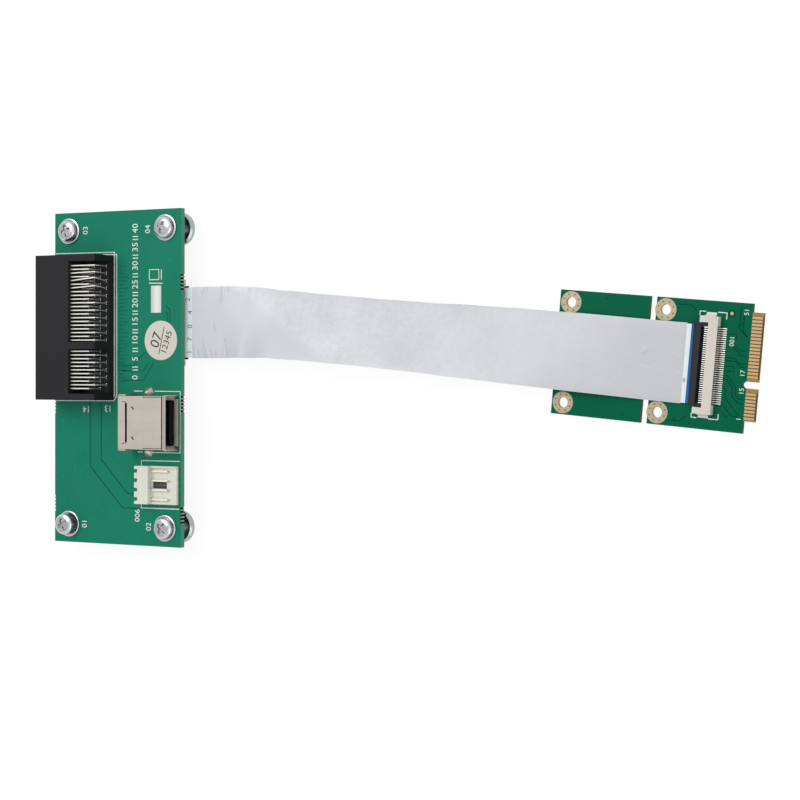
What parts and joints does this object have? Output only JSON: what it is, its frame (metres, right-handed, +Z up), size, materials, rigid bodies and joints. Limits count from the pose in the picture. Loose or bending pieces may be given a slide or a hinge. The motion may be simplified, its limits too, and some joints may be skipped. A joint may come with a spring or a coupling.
{
  "type": "mini card to slot adapter",
  "caption": "Two-part slot adapter: a footed circuit board with a right-angle card slot, USB port and power header, joined by a shielded flat cable to a mini card with edge contacts.",
  "frame": {"origin": "on the table, midway along the object without its cable", "axes": "+X from the slot board towards the mini card's contact edge, +Y along the slot board, +Z up"},
  "size_m": [0.199, 0.09, 0.016],
  "materials": {
    "board_green": "glossy solder mask",
    "card_green": "glossy solder mask",
    "bright_steel": "bright turned",
    "zinc_steel": "zinc plated",
    "black_moulding": "fine matt",
    "gold_contact": "gold flash",
    "nickel_shell": "nickel plated sheet",
    "white_moulding": "satin",
    "ivory_moulding": "satin",
    "tin_contact": "tin plated",
    "silver_film": "satin film",
    "white_film": "satin film",
    "blue_film": "satin film",
    "pale_label": "matt film"
  },
  "bodies": {
    "adapter": {"main_board": "board_green", "mini_card": "card_green", "corner_feet": "bright_steel", "corner_washers": "zinc_steel", "corner_screws": "zinc_steel", "slot_housing": "black_moulding", "slot_tail_guide": "black_moulding", "slot_upper_contacts": "gold_contact", "slot_lower_contacts": "gold_contact", "usb_shell": "nickel_shell", "usb_insulator": "black_moulding", "usb_contacts": "gold_contact", "power_header_body": "white_moulding", "power_header_pins": "tin_contact", "round_label": "pale_label", "cable_shield": "silver_film", "cable_board_end": "white_film", "cable_card_end": "white_film", "cable_board_stiffener": "blue_film", "cable_card_stiffener": "blue_film", "edge_fingers_top": "gold_contact", "edge_fingers_bottom": "gold_contact", "board_socket_housing": "ivory_moulding", "board_socket_contacts": "tin_contact", "board_socket_tabs": "tin_contact", "card_socket_housing": "ivory_moulding", "card_socket_contacts": "tin_contact", "card_socket_tabs": "tin_contact"},
    "board_lever": {"board_socket_lever": "black_moulding"},
    "card_lever": {"card_socket_lever": "black_moulding"}
  },
  "joints": [
    {"name": "board_lever_hinge", "type": "hinge", "parent": "adapter", "child": "board_lever", "pos_m": [-0.06014, 0.0147, 0.00495], "axis": [0, 1, 0], "range_deg": [0, 90]},
    {"name": "card_lever_hinge", "type": "hinge", "parent": "adapter", "child": "card_lever", "pos_m": [0.08543, 0.00355, 0.0021], "axis": [0.0866, 0.9962, 0], "range_deg": [0, 90]}
  ]
}
